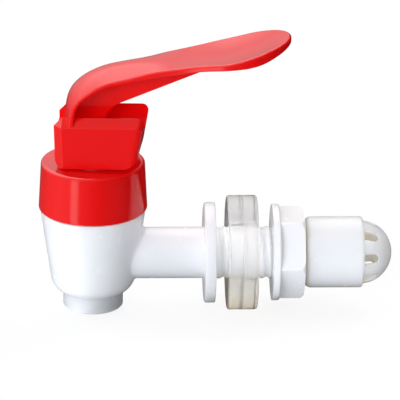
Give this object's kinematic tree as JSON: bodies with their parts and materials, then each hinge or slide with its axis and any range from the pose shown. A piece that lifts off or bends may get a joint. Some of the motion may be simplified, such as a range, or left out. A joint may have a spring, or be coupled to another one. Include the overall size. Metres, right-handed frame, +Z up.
{
  "type": "beverage dispenser spigot",
  "caption": "Lever tap for a drinks dispenser: white tapered barrel with a side shank, red collar and red paddle lever, soft washers, lock nut and slotted strainer cap.",
  "frame": {"origin": "centre of the flange's wall side, on the shank's axis", "axes": "+X along the shank into the container, +Z up along the barrel away from its outlet"},
  "size_m": [0.1079, 0.0363, 0.0896],
  "materials": {
    "white_plastic": "gloss",
    "red_plastic": "gloss",
    "stem_plastic": "gloss",
    "silicone": "satin, milky translucent",
    "spring_steel": "drawn wire"
  },
  "bodies": {
    "body": {"valve_body": "white_plastic", "bonnet": "red_plastic", "seat_cup": "silicone", "strainer_cap": "white_plastic"},
    "swivel": {"return_spring": "spring_steel"},
    "stem": {"stem": "stem_plastic"},
    "lever": {"lever": "red_plastic"},
    "washers": {"outer_washer": "silicone", "inner_washer": "silicone"},
    "nut": {"lock_nut": "white_plastic"}
  },
  "joints": [
    {"name": "lever_swivel", "type": "hinge", "parent": "body", "child": "swivel", "pos_m": [-0.0372, 0, 0.03], "axis": [0, 0, 1], "continuous": true},
    {"name": "stem_lift", "type": "slide", "parent": "swivel", "child": "stem", "axis": [0, 0, 1], "range_m": [0, 0.0036], "deforming": ["return_spring", "seat_cup"]},
    {"name": "lever_tilt", "type": "hinge", "parent": "stem", "child": "lever", "pos_m": [-0.0372, 0, 0.0365], "axis": [0.1219, 0.9925, 0], "range_deg": [0, 20], "stiffness_Nm_per_rad": 0.045, "springref_deg": -51.57},
    {"name": "washer_slide", "type": "slide", "parent": "body", "child": "washers", "axis": [1, 0, 0], "range_m": [-0.0036, 0]},
    {"name": "nut_travel", "type": "slide", "parent": "body", "child": "nut", "axis": [1, 0, 0], "range_m": [-0.0082, 0]}
  ],
  "couplings": [
    {"joint": "stem_lift", "follows": "lever_tilt", "m_per_rad": 0.01},
    {"joint": "washer_slide", "follows": "nut_travel", "ratio": 0.43902}
  ]
}
